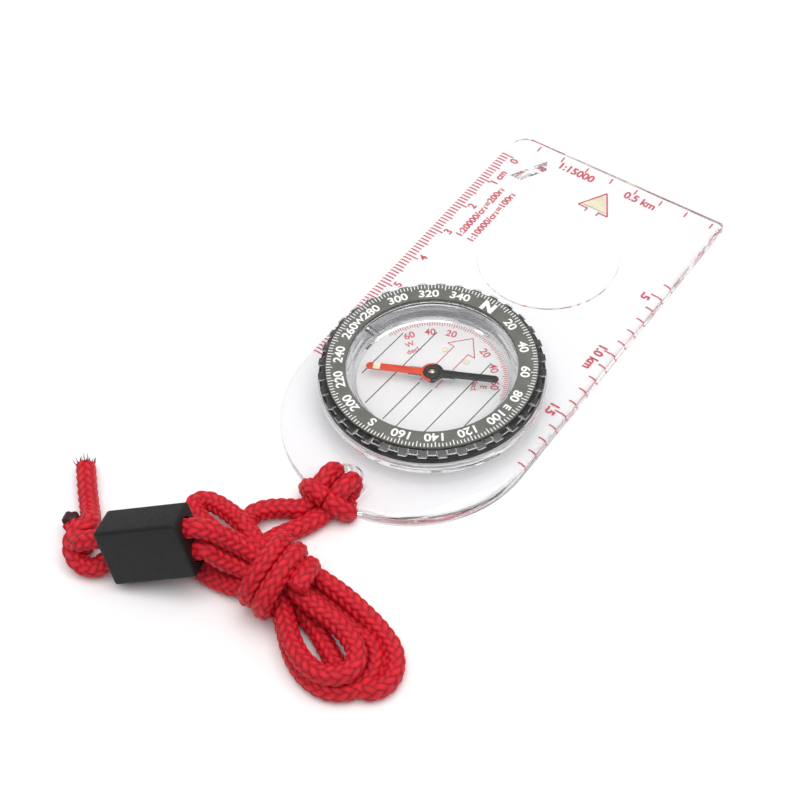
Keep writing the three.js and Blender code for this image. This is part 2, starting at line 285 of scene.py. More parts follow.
def moulded_material(name, colour, roughness, grain, strength):
    """Moulded plastic or paint: a fine grain, with a tone and a gloss that wander a little."""
    material, shader = new_material(name)
    darker = tuple(0.8 * c for c in colour)
    vary(material, 400.0, 5.0, darker, colour, shader.inputs["Base Color"])
    glossy = (roughness - 0.06,) * 3
    dull = (roughness + 0.08,) * 3
    vary(material, 1500.0, 4.0, glossy, dull, shader.inputs["Roughness"])
    pits = object_noise(material, grain, 4.0)
    link(material, bump_from(material, pits, strength, 0.06 * MM), shader.inputs["Normal"])
    shader.inputs["Specular IOR Level"].default_value = 0.3
    return material


def metal_material(name, colour, roughness):
    material, shader = new_material(name)
    darker = tuple(0.85 * c for c in colour)
    vary(material, 2200.0, 4.0, darker, colour, shader.inputs["Base Color"])
    set_inputs(shader, {"Metallic": 1.0, "Roughness": roughness})
    return material


def braid_material():
    """Braided yarn: painted shade that darkens the crevices between the plaits and painted light on their
    crowns, a tone for each plait, and fine filaments.
    """
    material, shader = new_material("red_braid")
    attribute = add_node(material, "ShaderNodeAttribute")
    attribute.attribute_name = "plait"
    split = add_node(material, "ShaderNodeSeparateColor")
    link(material, attribute.outputs["Color"], split.inputs[0])
    # The base colour follows the plait height: painted shade in the crevices, painted light on the crowns.
    body = ramp_of(material, split.outputs[0],
                   [(0.0, (0.1, 0.0, 0.003)), (0.4, (0.46, 0.0, 0.01)), (1.0, (0.84, 0.01, 0.03))])
    tone = ramp_of(material, split.outputs[1], [(0.0, (0.82, 0.82, 0.82)), (1.0, (1.0, 1.0, 1.0))])
    mix = add_node(material, "ShaderNodeMix", data_type="RGBA", blend_type="MULTIPLY")
    mix.inputs["Factor"].default_value = 1.0
    link(material, body, mix.inputs["A"])
    link(material, tone, mix.inputs["B"])
    link(material, mix.outputs["Result"], shader.inputs["Base Color"])
    uv = add_node(material, "ShaderNodeUVMap")
    uv.uv_map = "filament"
    filaments = add_node(material, "ShaderNodeTexWave", Scale=1.0, Distortion=1.2, Detail=2.0)
    link(material, uv.outputs[0], filaments.inputs["Vector"])
    link(material, bump_from(material, filaments.outputs["Fac"], 0.35, 0.08 * MM), shader.inputs["Normal"])
    set_inputs(shader, {
        "Roughness": 0.5, "Sheen Weight": 0.05, "Sheen Roughness": 0.4, "Sheen Tint": (1.0, 0.45, 0.45, 1),
        "Specular IOR Level": 0.35,
    })
    return material


# --- mesh helpers

def mesh_object(name, vertices, faces, material):
    mesh = bpy.data.meshes.new(name)
    mesh.from_pydata([tuple(v) for v in vertices], [], [tuple(f) for f in faces])
    mesh.validate()
    mesh.polygons.foreach_set("use_smooth", [True] * len(mesh.polygons))
    mesh.set_sharp_from_angle(angle=math.radians(SMOOTH_ANGLE))
    mesh.materials.append(material)
    return new_object(name, mesh)


ON_AXIS = 1e-9
CORNER_STEPS = 4
LONGEST_SHARE = 0.45


def fillet(profile, radius):
    """The closed outline of (r, z) points with each corner rounded, apart from those on the axis."""
    rounded = []
    count = len(profile)
    for i, corner in enumerate(profile):
        corner = np.array(corner, float)
        before = np.array(profile[i - 1], float)
        after = np.array(profile[(i + 1) % count], float)
        if corner[0] < ON_AXIS:
            rounded.append(tuple(corner))
            continue
        back = np.linalg.norm(before - corner)
        forward = np.linalg.norm(after - corner)
        reach = min(radius, LONGEST_SHARE * back, LONGEST_SHARE * forward)
        start = corner + reach * (before - corner) / back
        end = corner + reach * (after - corner) / forward
        for t in np.linspace(0, 1, CORNER_STEPS + 1):
            rounded.append(tuple((1 - t) ** 2 * start + 2 * t * (1 - t) * corner + t ** 2 * end))
    return rounded


def lathe_data(profile, centre, segments, outer=None):
    """Vertices and faces of a closed outline turned round the centre. outer(angle, r) caps the radius."""
    vertices = []
    rings = []
    for r, z in profile:
        if r < ON_AXIS:
            rings.append([len(vertices)])
            vertices.append((centre[0], centre[1], z))
            continue
        rings.append(list(range(len(vertices), len(vertices) + segments)))
        for j in range(segments):
            angle = 2 * math.pi * j / segments
            reach = r if outer is None else min(r, outer(angle, r))
            vertices.append((centre[0] + reach * math.cos(angle), centre[1] + reach * math.sin(angle), z))
    faces = []
    for i, ring in enumerate(rings):
        following = rings[(i + 1) % len(rings)]
        if len(ring) == 1 and len(following) == 1:
            continue
        for j in range(segments):
            k = (j + 1) % segments
            if len(ring) == 1:
                faces.append((ring[0], following[k], following[j]))
            elif len(following) == 1:
                faces.append((ring[j], ring[k], following[0]))
            else:
                faces.append((ring[j], ring[k], following[k], following[j]))
    return vertices, faces


def in_metres(profile):
    return [(r * MM, z * MM) for r, z in profile]


def lathe(name, profile, centre, material, corner, segments, outer=None):
    vertices, faces = lathe_data(fillet(profile, corner), centre, segments, outer)
    return mesh_object(name, vertices, faces, material)


def arc(across, up, start, end, steps, centre=(0, 0)):
    """Points on an arc of an ellipse from one angle to another, with both ends."""
    points = []
    for i in range(steps + 1):
        angle = start + (end - start) * i / steps
        points.append((centre[0] + across * math.cos(angle), centre[1] + up * math.sin(angle)))
    return points


def prism_faces(count):
    """The bottom, top and side faces of a prism whose vertices are its low outline, then its high one."""
    faces = [tuple(reversed(range(count))), tuple(range(count, 2 * count))]
    faces += [(i, (i + 1) % count, count + (i + 1) % count, count + i) for i in range(count)]
    return faces


def prism(name, outline, low, high, material):
    vertices = [(x, y, low) for x, y in outline] + [(x, y, high) for x, y in outline]
    return mesh_object(name, vertices, prism_faces(len(outline)), material)


def boolean(target, tool, operation):
    """Joins a tool to the target or cuts it out, and removes the tool."""
    modifier = target.modifiers.new("cut", "BOOLEAN")
    modifier.operation = operation
    modifier.solver = "EXACT"
    modifier.object = tool
    depsgraph = bpy.context.evaluated_depsgraph_get()
    mesh = bpy.data.meshes.new_from_object(target.evaluated_get(depsgraph))
    target.modifiers.remove(modifier)
    target.data = mesh
    bpy.data.objects.remove(tool)


def sharpen(obj, angle):
    obj.data.polygons.foreach_set("use_smooth", [True] * len(obj.data.polygons))
    obj.data.set_sharp_from_angle(angle=math.radians(angle))


def paint_cad_piece(name, material):
    """A CAD piece that is seen as it is only gets its visual material."""
    piece = bpy.data.objects[name]
    piece.data.materials.clear()
    piece.data.materials.append(material)


def finish_piece(obj, body, slot, *replaced):
    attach(obj, body)
    if replaced:
        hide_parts(*replaced)


# --- cords

def between(first, last, low, high, t):
    """The line that is at the first point when t is low and at the last point when t is high."""
    return (high - t) / (high - low) * first + (t - low) / (high - low) * last


def smooth_path(points, step):
    """Evenly spaced points in metres on a centripetal curve through the route, and its length."""
    route = np.array(points, float) * MM
    padded = np.vstack([2 * route[0] - route[1], route, 2 * route[-1] - route[-2]])
    dense = []
    for p0, p1, p2, p3 in zip(padded, padded[1:], padded[2:], padded[3:]):
        gaps = [np.linalg.norm(b - a) ** 0.5 for a, b in ((p0, p1), (p1, p2), (p2, p3))]
        k0, k1, k2, k3 = np.cumsum([0] + gaps)
        t = np.linspace(k1, k2, 40, endpoint=False)[:, None]
        a1 = between(p0, p1, k0, k1, t)
        a2 = between(p1, p2, k1, k2, t)
        a3 = between(p2, p3, k2, k3, t)
        b1 = between(a1, a2, k0, k2, t)
        b2 = between(a2, a3, k1, k3, t)
        dense.append(between(b1, b2, k1, k2, t))
    dense = np.vstack(dense + [route[-1:]])
    travelled = np.concatenate([[0], np.cumsum(np.linalg.norm(np.diff(dense, axis=0), axis=1))])
    count = max(8, int(travelled[-1] / step))
    places = np.linspace(0, travelled[-1], count + 1)
    return np.stack([np.interp(places, travelled, dense[:, k]) for k in range(3)], 1), travelled[-1]


def cord_frames(path):
    """Two directions across the cord at each point, which turn no more than the path does."""
    tangents = np.gradient(path, axis=0)
    tangents /= np.linalg.norm(tangents, axis=1)[:, None]
    normal = np.cross(tangents[0], (0.31, 0.17, 0.93))
    normals = []
    for tangent in tangents:
        normal = normal - tangent * np.dot(normal, tangent)
        normal = normal / np.linalg.norm(normal)
        normals.append(normal)
    normals = np.array(normals)
    return normals, np.cross(tangents, normals)


CARRIERS = 8
PLAIT_LENGTH = 1.9 * MM
CORE_SHARE = 0.79
PLAIT_SHARE = 0.24
SIDES = 64
RING_STEP = 0.18 * MM
TABLE_GAP = 0.03 * MM
FILAMENTS_ACROSS = 6
FILAMENT_SLANT = 0.6


def scatter(number):
    """A value from 0 to 1 for each whole number, in no visible order."""
    return np.mod(np.abs(np.sin(number * 12.9898)) * 43758.5453, 1.0)


def plait_pattern(around, along):
    """The braid's height from 0 to 1, tone, and place on the plait: yarns pass over two and under two."""
    a = CARRIERS * around + along / PLAIT_LENGTH
    b = CARRIERS * around - along / PLAIT_LENGTH
    cell_a = np.floor(a)
    cell_b = np.floor(b)
    step = np.mod(cell_a + cell_b, 4)
    over = step < 2
    across = np.where(over, a - cell_a, b - cell_b) - 0.5
    lengthwise = np.where(over, step + b - cell_b, step - 2 + a - cell_a) / 2 - 0.5
    crown = np.sqrt(np.clip(1 - (1.85 * across) ** 2, 0, 1))
    height = crown * (0.4 + 0.6 * np.cos(math.pi * lengthwise))
    group = cell_a + cell_b - step
    number = np.where(over, cell_a * 7 + group * 3, cell_b * 5 + group * 11)
    return np.clip(height, 0, 1), scatter(number), across, lengthwise


def tube_faces(count):
    """The faces of a tube of rings. Its two end caps meet at the last two points."""
    ids = np.arange(count * SIDES).reshape(count, SIDES)
    following = np.roll(ids, -1, axis=1)
    quads = np.stack([ids[:-1], following[:-1], following[1:], ids[1:]], -1).reshape(-1, 4)
    first = count * SIDES
    last = first + 1
    caps = [(first, following[0, j], ids[0, j]) for j in range(SIDES)]
    caps += [(last, ids[-1, j], following[-1, j]) for j in range(SIDES)]
    return quads.tolist() + caps


def paint_plaits(mesh, pattern):
    """Stores the plaits' height and tone as a colour, and the run of their filaments as a UV map."""
    height, tone, across, lengthwise = [values.reshape(-1) for values in pattern]
    count = len(height)
    colour = mesh.color_attributes.new("plait", "FLOAT_COLOR", "POINT")
    values = np.ones((len(mesh.vertices), 4), np.float32)
    values[:count, 0] = height
    values[:count, 1] = tone
    colour.data.foreach_set("color", values.reshape(-1))
    uv = mesh.uv_layers.new(name="filament")
    corners = np.zeros(len(mesh.loops), np.int32)
    mesh.loops.foreach_get("vertex_index", corners)
    sheet = np.zeros((len(mesh.vertices), 2), np.float32)
    sheet[:count, 0] = across * FILAMENTS_ACROSS
    sheet[:count, 1] = lengthwise * FILAMENT_SLANT
    uv.data.foreach_set("uv", sheet[corners].reshape(-1))


def braided_cord(name, points, material, press=None):
    """A braided cord along a route. press moves its surface where something flattens it."""
    path, length = smooth_path(points, RING_STEP)
    normals, binormals = cord_frames(path)
    count = len(path)
    along = np.linspace(0, length, count)[:, None] * np.ones((1, SIDES))
    around = np.ones((count, 1)) * (np.arange(SIDES) / SIDES)[None, :]
    pattern = plait_pattern(around, along)
    reach = CORD_RADIUS * (CORE_SHARE + PLAIT_SHARE * pattern[0])
    angle = 2 * math.pi * around[..., None]
    out = np.cos(angle) * normals[:, None, :] + np.sin(angle) * binormals[:, None, :]
    surface = path[:, None, :] + reach[..., None] * out
    if press is not None:
        surface = press(surface)
    surface[..., 2] = np.maximum(surface[..., 2], TABLE_GAP)
    vertices = np.vstack([surface.reshape(-1, 3), path[:1], path[-1:]])
    mesh = bpy.data.meshes.new(name)
    mesh.from_pydata(vertices.tolist(), [], tube_faces(count))
    mesh.polygons.foreach_set("use_smooth", [True] * len(mesh.polygons))
    mesh.materials.append(material)
    paint_plaits(mesh, pattern)
    return new_object(name, mesh), path, length


BEAD_CENTRE = Vector((-19.9, -89, 9.8))
BEAD_YAW = Matrix.Rotation(math.radians(27.5), 3, "Z")
BEAD_PITCH = Matrix.Rotation(math.radians(-18.3), 3, "Y")
BEAD_ROLL = Matrix.Rotation(math.radians(-18.1), 3, "X")
BEAD_TURN = BEAD_YAW @ BEAD_PITCH @ BEAD_ROLL
BEAD_SIZE = Vector((18.2, 8.1, 12.8))
BEAD_ROUND = 0.75 * MM
BORE_RADIUS = 2.35 * MM
BORE_Z = 2.75


def bead_point(x, z):
    """A point on the bead's long middle plane, in millimetres, from its own axes to the frame's."""
    return tuple(BEAD_CENTRE + BEAD_TURN @ Vector((x, 0, z)))


UNDER_SPAN = (-57.2 * MM, -54.0 * MM)
OVER_SPAN = (-56.9 * MM, -54.2 * MM)
PLATE_MIDDLE = 2.9 * MM
RELIEF_ROOF = 2.1 * MM
PLATE_FACE = 3.1 * MM


def under_plate(surface):
    """A strand is flat in the relief where it passes under the plate, and stays above it where it is over."""
    y = surface[..., 1]
    z = surface[..., 2]
    under = (y > UNDER_SPAN[0]) & (y < UNDER_SPAN[1]) & (z < PLATE_MIDDLE)
    over = (y > OVER_SPAN[0]) & (y < OVER_SPAN[1]) & (z > PLATE_MIDDLE)
    z[under] = np.minimum(z[under], RELIEF_ROOF)
    z[over] = np.maximum(z[over], PLATE_FACE)
    return surface


HITCH_LEFT = [
    (0.2, -58.9, 5.6), (-2.2, -58.6, 5.8), (-4.0, -58.2, 5.2), (-5.5, -57.6, 3.8), (-5.5, -56.9, 2.0),
    (-4.5, -56.1, 1.2), (-3.8, -54.6, 1.2), (-3.2, -52.8, 1.9), (-3.1, -51.6, 3.6), (-3.0, -52.0, 5.2),
    (-3.0, -53.6, 5.8), (-3.0, -55.6, 5.6), (-3.1, -57.4, 4.4), (-3.3, -59.0, 3.0), (-3.6, -60.6, 2.3),
    (-4.6, -62.0, 2.2), (-6.4, -63.4, 2.5), (-8.4, -65.0, 2.8), (-10.2, -67.0, 3.0), (-11.2, -69.0, 3.0),
    (-11.0, -71.0, 3.2), (-9.4, -72.8, 3.8), (-6.6, -74.2, 4.6), (-3.0, -75.6, 5.4), (0.6, -77.0, 6.0),
]
HITCH_RIGHT = [
    (0.2, -58.9, 5.5), (1.8, -58.6, 4.9), (3.2, -58.1, 3.7), (4.1, -57.5, 2.4), (3.7, -56.5, 1.3),
    (2.8, -55.5, 1.2), (2.0, -54.2, 1.2), (1.6, -52.8, 1.9), (1.5, -51.6, 3.6), (1.5, -52.1, 5.2),
    (1.5, -53.7, 5.8), (1.3, -55.7, 5.5), (0.9, -57.4, 4.2), (0.6, -59.0, 2.8), (0.2, -60.6, 2.2),
    (-0.4, -62.6, 2.1), (-1.4, -65.0, 2.1), (-2.8, -67.6, 2.1), (-4.2, -70.2, 2.1), (-4.6, -72.6, 2.4),
    (-3.2, -75.0, 3.4), (-0.4, -77.0, 4.6),
]
FOLD_OUTER = [
    (1.0, -77.5, 6.5), (-2.5, -75.8, 5.6), (-6.0, -74.4, 5.0), (-9.4, -73.2, 5.2), (-12.4, -72.2, 4.6),
    (-15.4, -71.6, 4.0), (-18.4, -71.4, 3.8), (-20.8, -72.2, 4.2), (-21.8, -74.0, 4.6), (-20.8, -75.6, 4.8),
    (-18.2, -76.6, 4.8), (-15.0, -77.2, 4.8), (-11.6, -77.6, 4.8), (-8.0, -78.2, 5.0), (-4.0, -78.8, 5.4),
    (0.5, -79.2, 6.0),
]
FOLD_INNER = [
    (1.5, -79.5, 4.5), (-2.5, -79.8, 2.9), (-6.0, -79.6, 2.3), (-9.4, -78.6, 2.1), (-12.4, -77.2, 2.1),
    (-15.0, -76.6, 2.1), (-17.6, -77.2, 2.1), (-19.0, -78.9, 2.1), (-18.6, -80.9, 2.1), (-16.8, -82.8, 2.1),
    (-14.2, -84.2, 2.1), (-11.2, -84.9, 2.1), (-7.6, -84.9, 2.1), (-3.8, -84.2, 2.4), (-0.2, -82.6, 3.6),
    (2.5, -80.5, 4.8),
]
STRAND_UPPER = [
    (3.0, -79.2, 7.5), (-0.5, -79.2, 8.8), (-3.6, -79.6, 10.2), (-6.4, -80.6, 12.0), (-9.0, -82.0, 14.2),
    bead_point(11.2, BORE_Z - 0.2), bead_point(8.6, BORE_Z), bead_point(4, BORE_Z), bead_point(0, BORE_Z),
    bead_point(-4, BORE_Z), bead_point(-8.6, BORE_Z), bead_point(-10.6, BORE_Z - 0.3),
    (-32.4, -94.6, 7.6), (-34.4, -95.4, 6.0), (-34.6, -94.6, 3.6), (-35.2, -93.4, 2.3), (-37.2, -92.6, 2.5),
    (-39.2, -91.8, 3.2), (-40.3, -91.3, 3.7),
]
STRAND_LOWER = [
    (3.0, -81.0, 5.5), (-0.6, -81.4, 6.0), (-4.0, -82.2, 6.8), (-7.0, -83.4, 8.4),
    bead_point(10.6, -BORE_Z + 0.2), bead_point(8.4, -BORE_Z), bead_point(4, -BORE_Z), bead_point(0, -BORE_Z),
    bead_point(-4, -BORE_Z), bead_point(-8.6, -BORE_Z), bead_point(-10.4, -BORE_Z),
    (-29.6, -96.4, 2.6), (-32.2, -97.4, 2.5), (-34.6, -97.0, 3.4), (-36.2, -95.4, 4.6), (-36.6, -93.2, 5.6),
    (-36.0, -91.2, 5.8), (-36.6, -89.6, 4.9), (-38.2, -88.0, 3.5), (-40.2, -86.3, 2.5), (-42.2, -84.5, 2.2),
    (-44.0, -82.8, 2.2), (-45.8, -81.0, 2.2), (-47.4, -79.4, 2.2), (-48.6, -78.2, 2.2),
]
LOOP_TOP = [
    (3.8, -78.9, 8.0), (7.5, -80.1, 8.0), (11.3, -81.0, 7.4), (15.4, -81.4, 6.8), (19.7, -81.7, 6.4),
    (23.6, -82.7, 6.2), (26.6, -84.5, 6.1), (28.0, -87.3, 6.0), (26.9, -90.1, 5.8), (23.8, -91.8, 5.6),
    (20.1, -91.6, 5.4), (16.7, -90.3, 5.3), (13.7, -88.4, 5.2), (10.9, -86.2, 5.2), (8.1, -83.8, 5.2),
    (5.2, -81.4, 5.6),
]
LOOP_MIDDLE = [
    (3.3, -77.5, 5.0), (7.0, -77.6, 4.4), (11.1, -77.6, 3.4), (15.4, -77.8, 2.6), (20.1, -78.2, 2.2),
    (24.7, -79.1, 2.1), (28.4, -81.0, 2.1), (30.3, -84.1, 2.1), (30.3, -87.7, 2.1), (28.4, -90.7, 2.1),
    (25.1, -92.5, 2.1), (21.0, -92.5, 2.1), (17.3, -91.2, 2.1), (14.1, -89.2, 2.1), (11.1, -86.7, 2.1),
    (8.3, -84.3, 2.4), (5.2, -81.9, 3.4),
]
LOOP_LOW = [
    (4.2, -76.1, 6.5), (8.3, -75.4, 6.4), (12.6, -75.2, 5.8), (17.3, -75.4, 5.2), (21.9, -76.0, 4.4),
    (26.6, -76.9, 3.2), (30.7, -78.6, 2.4), (33.3, -81.7, 2.1), (33.8, -85.4, 2.1), (31.8, -88.2, 2.1),
]
LOOP_BACK = [
    (26.0, -88.0, 2.1), (22.8, -86.7, 2.1), (19.7, -85.1, 2.1), (16.5, -83.4, 2.1), (13.2, -82.1, 2.1),
    (9.8, -81.2, 2.2), (6.1, -80.2, 3.0), (2.8, -79.4, 4.0),
]


WRAP_TURNS = 2.6
WRAP_POINTS = 40
WRAP_START = math.radians(-118)
WRAP_CENTRE = (-1.4, -79.4, 7.1)
WRAP_RUN = 10.6
WRAP_SWAY = 1.7
WRAP_HALF_WIDTH = 5.6
WRAP_HALF_HEIGHT = 4.2
WRAP_SWELL = 1.1
WRAP_SLANT = 0.18
LOWEST_AXIS = 2.1


def knot_wraps():
    """The turns round the bundle, which move along it and are widest in the middle."""
    points = []
    for i in range(WRAP_POINTS):
        t = i / (WRAP_POINTS - 1)
        angle = WRAP_START + t * WRAP_TURNS * 2 * math.pi
        swell = WRAP_SWELL * math.sin(math.pi * t) ** 0.5
        x = WRAP_CENTRE[0] + WRAP_RUN * t + WRAP_SWAY * math.sin(angle)
        y = WRAP_CENTRE[1] + (WRAP_HALF_WIDTH + swell) * math.cos(angle) - WRAP_SLANT * x
        z = WRAP_CENTRE[2] + (WRAP_HALF_HEIGHT + swell) * math.sin(angle)
        points.append((x, y, max(z, LOWEST_AXIS)))
    return points


BURNT_PLACE = Vector((-40.5, -91.2, 3.9)) * MM
BURNT_RADIUS = 1.9 * MM


def burnt_end():
    """The melted end of the short tail: a ball with soft lumps."""
    material = moulded_material("burnt_fibre", (0.05, 0.012, 0.012), 0.45, 2000.0, 0.8)
    blob = bmesh.new()
    bmesh.ops.create_icosphere(blob, subdivisions=3, radius=BURNT_RADIUS)
    for vertex in blob.verts:
        out = vertex.co.normalized()
        lump = math.sin(out.x * 5 + 1) * math.sin(out.y * 6) * math.sin(out.z * 4 + 2)
        vertex.co *= 1 + 0.22 * lump
        vertex.co += BURNT_PLACE
    mesh = bpy.data.meshes.new("lanyard_burnt_end")
    blob.to_mesh(mesh)
    blob.free()
    mesh.polygons.foreach_set("use_smooth", [True] * len(mesh.polygons))
    mesh.materials.append(material)
    finish_piece(new_object("lanyard_burnt_end", mesh), "plate", "bead_black")


FILAMENTS = 70
FILAMENT_SIDES = 5
FILAMENT_ROOT = 0.13 * MM
FILAMENT_TIP = 0.06 * MM
FILAMENT_START = 0.6 * MM
GOLDEN_ANGLE = 2.39996


def frayed_end(path, material):
    """Loose filaments that stand out of the long tail's cut end."""
    end = Vector(path[-1])
    heading = (end - Vector(path[-6])).normalized()
    side = heading.cross(Vector((0, 0, 1))).normalized()
    up = side.cross(heading)
    circle = [2 * math.pi * k / FILAMENT_SIDES for k in range(FILAMENT_SIDES)]
    vertices = []
    faces = []
    for i in range(FILAMENTS):
        turn = i * GOLDEN_ANGLE
        reach = CORD_RADIUS * 0.85 * math.sqrt((i + 0.5) / FILAMENTS)
        out = math.cos(turn) * side + math.sin(turn) * up
        root = end + out * reach - heading * FILAMENT_START
        length = (1.5 + 0.7 * math.sin(i * 1.7)) * MM
        tip = root + (heading + out * (0.35 + 0.3 * math.sin(i * 2.3))).normalized() * length
        tip.z = max(tip.z, 0.15 * MM)
        first = len(vertices)
        for centre, width in ((root, FILAMENT_ROOT), (tip, FILAMENT_TIP)):
            vertices += [tuple(centre + width * (math.cos(a) * side + math.sin(a) * up)) for a in circle]
        faces += [tuple(first + k for k in face) for face in prism_faces(FILAMENT_SIDES)]
    fray = mesh_object("lanyard_frayed_end", vertices, faces, material)
    finish_piece(fray, "plate", "red_braid")


HITCH_EXIT = Vector((-1, -52, 3)) * MM


def make_lanyard():
    """Ten stretches of one cord, each with the CAD nodes that it stands for."""
    braid = braid_material()
    routes = {
        "lanyard_left": (HITCH_LEFT, under_plate, HITCH_EXIT, "object",
                         ("lanyard_hitch", "lanyard_lead_left")),
        "lanyard_right": (HITCH_RIGHT, under_plate, HITCH_EXIT, "object", ("lanyard_lead_right",)),
        "lanyard_fold_outer": (FOLD_OUTER, None, None, "object", ("lanyard_fold",)),
        "lanyard_fold_inner": (FOLD_INNER, None, None, "object", ()),
        "lanyard_strand_a": (STRAND_UPPER, None, None, "knot",
                             ("lanyard_strand_upper", "lanyard_tail_short")),
        "lanyard_strand_b": (STRAND_LOWER, None, None, "knot",
                             ("lanyard_strand_lower", "lanyard_tail_long", "lanyard_end_knot")),
        "lanyard_loop_top": (LOOP_TOP, None, None, "object", ("lanyard_loops",)),
        "lanyard_loop_middle": (LOOP_MIDDLE, None, None, "object", ()),
        "lanyard_loop_low": (LOOP_LOW + LOOP_BACK, None, None, "object", ()),
        "lanyard_knot_wraps": (knot_wraps(), None, None, "object", ("lanyard_knot",)),
    }
    for name, (points, press, leaves, far_end, nodes) in routes.items():
        piece, path, length = braided_cord(name, points, braid, press)
        finish_piece(piece, "plate", "red_braid", *nodes)
        if name == "lanyard_strand_b":
            frayed_end(path, braid)
    burnt_end()


def cut_bore(bead, z, reach, material):
    """Cuts a round hole along the bead's length at one height."""
    profile = [(0, -reach), (BORE_RADIUS, -reach), (BORE_RADIUS, reach), (0, reach)]
    vertices, faces = lathe_data(profile, (0, 0), 48)
    bore = mesh_object("bore", vertices, faces, material)
    bore.data.transform(Matrix.Translation((0, 0, z)) @ Matrix.Rotation(math.pi / 2, 4, "Y"))
    boolean(bead, bore, "DIFFERENCE")


def make_bead():
    """A rounded block with two bores, tilted on the strands under it."""
    material = moulded_material("bead_black", (0.01, 0.011, 0.0105), 0.5, 5200.0, 0.35)
    box = bpy.data.meshes.new("cord_bead_block")
    block = bmesh.new()
    bmesh.ops.create_cube(block, size=1.0)
    bmesh.ops.scale(block, vec=BEAD_SIZE * MM, verts=block.verts)
    bmesh.ops.bevel(block, geom=block.edges[:], offset=BEAD_ROUND, segments=5, profile=0.6, affect="EDGES")
    block.to_mesh(box)
    block.free()
    bead = new_object("cord_bead_shell", box)
    for z in (BORE_Z, -BORE_Z):
        cut_bore(bead, z * MM, 0.55 * BEAD_SIZE.x * MM, material)
    bead.data.materials.clear()
    bead.data.materials.append(material)
    bead.data.transform(Matrix.Translation(BEAD_CENTRE * MM) @ BEAD_TURN.to_4x4())
    sharpen(bead, 40)
    finish_piece(bead, "plate", "bead_black", "cord_bead")


# --- plate

HALF_WIDTH = PLATE_HIGH.x
END_Y = PLATE_HIGH.y
ROUND_END_Y = -29 * MM
CORNER_LEFT = 4.5 * MM
CORNER_RIGHT = 1 * MM
SHARPEST_CORNER = 0.2 * MM
EDGE = [(0.25, 0), (0.06, 0.06), (0, 0.25), (0, 2.2), (0.05, 2.4), (0.7, 2.93), (0.95, 3.0)]
LENS_PLACE = (0, 25.1 * MM)
LENS = [(16.2, 2.0), (16.2, 3.42), (16.05, 3.55), (15.5, 3.6)]
DOME = {"radius": 15.4, "edge": 3.62, "crown": 1.0, "steps": 14}
BOSS = [(23.3, 2.0), (23.3, 5.7), (24.4, 5.7), (24.4, 7.0)]
WELL_RADIUS = 18.9 * MM
REBATE_RADIUS = 20.8 * MM
REBATE_DEPTH = 1.5 * MM
EYELET_PLACE = (-1 * MM, -50.8 * MM)
EYELET_RADIUS = 3.7 * MM
RELIEF = [(-6 * MM, -62 * MM), (4 * MM, -62 * MM), (4 * MM, -50 * MM), (-6 * MM, -50 * MM)]
RELIEF_DEPTH = 2.3 * MM
CUT_LOW = -1 * MM
CUT_HIGH = 8 * MM


def plate_outline(inset):
    """The plate's edge, moved inwards: an ellipse at the lanyard end, two corners at the travel end."""
    half = HALF_WIDTH - inset
    depth = ROUND_END_Y - PLATE_LOW.y - inset
    top = END_Y - inset
    left = max(CORNER_LEFT - inset, SHARPEST_CORNER)
    right = max(CORNER_RIGHT - inset, SHARPEST_CORNER)
    points = arc(half, depth, math.pi, 2 * math.pi, 159, (0, ROUND_END_Y))
    points += arc(right, right, 0, math.pi / 2, 8, (half - right, top - right))
    points += arc(left, left, math.pi / 2, math.pi, 16, (left - half, top - left))
    return points


def loft(name, levels, material):
    """A closed solid through outlines that have the same number of points, from the bottom up."""
    count = len(levels[0][0])
    vertices = [(x, y, z) for outline, z in levels for x, y in outline]
    faces = [tuple(reversed(range(count))), tuple(range(len(vertices) - count, len(vertices)))]
    for level in range(len(levels) - 1):
        a = level * count
        b = a + count
        faces += [(a + i, a + (i + 1) % count, b + (i + 1) % count, b + i) for i in range(count)]
    return mesh_object(name, vertices, faces, material)


def cylinder(radius, low, high, centre, material, segments=128):
    vertices, faces = lathe_data([(0, low), (radius, low), (radius, high), (0, high)], centre, segments)
    return mesh_object("cutter", vertices, faces, material)


def triangle(x, apex, base, half_base):
    return [(x - half_base, base), (x + half_base, base), (x, apex)]


STENCIL = [(x * MM, y * MM) for x, y in triangle(-16.9, 51.45, 42.65, 4.9)]


def lens_solid(acrylic):
    """The magnifier: a low rim with a shallow dome inside it."""
    outline = [(0, LENS[0][1]), *LENS]
    for i in range(DOME["steps"] + 1):
        out = 1 - i / DOME["steps"]
        outline.append((DOME["radius"] * out, DOME["edge"] + DOME["crown"] * (1 - out ** 2)))
    vertices, faces = lathe_data(in_metres(outline), LENS_PLACE, 128)
    return mesh_object("lens", vertices, faces, acrylic)


def boss_solid(acrylic):
    """The round boss and flange under the dial."""
    outline = in_metres([(0, BOSS[0][1]), *BOSS, (0, BOSS[-1][1])])
    vertices, faces = lathe_data(fillet(outline, 0.25 * MM), DIAL, 160)
    return mesh_object("boss", vertices, faces, acrylic)


def make_plate(acrylic):
    levels = [(plate_outline(inset * MM), z * MM) for inset, z in EDGE]
    plate = loft("baseplate_clear", levels, acrylic)
    boolean(plate, lens_solid(acrylic), "UNION")
    boolean(plate, boss_solid(acrylic), "UNION")
    for cutter in (
        cylinder(WELL_RADIUS, CUT_LOW, CUT_HIGH, DIAL, acrylic),
        cylinder(REBATE_RADIUS, CUT_LOW, REBATE_DEPTH, DIAL, acrylic),
        cylinder(EYELET_RADIUS, CUT_LOW, CUT_HIGH, EYELET_PLACE, acrylic, 64),
        prism("stencil", STENCIL, CUT_LOW, CUT_HIGH, acrylic),
        prism("relief", RELIEF, CUT_LOW, RELIEF_DEPTH, acrylic),
    ):
        boolean(plate, cutter, "DIFFERENCE")
    plate.data.materials.clear()
    plate.data.materials.append(acrylic)
    sharpen(plate, 32)
    finish_piece(plate, "plate", "clear_acrylic", "baseplate")


# --- prints

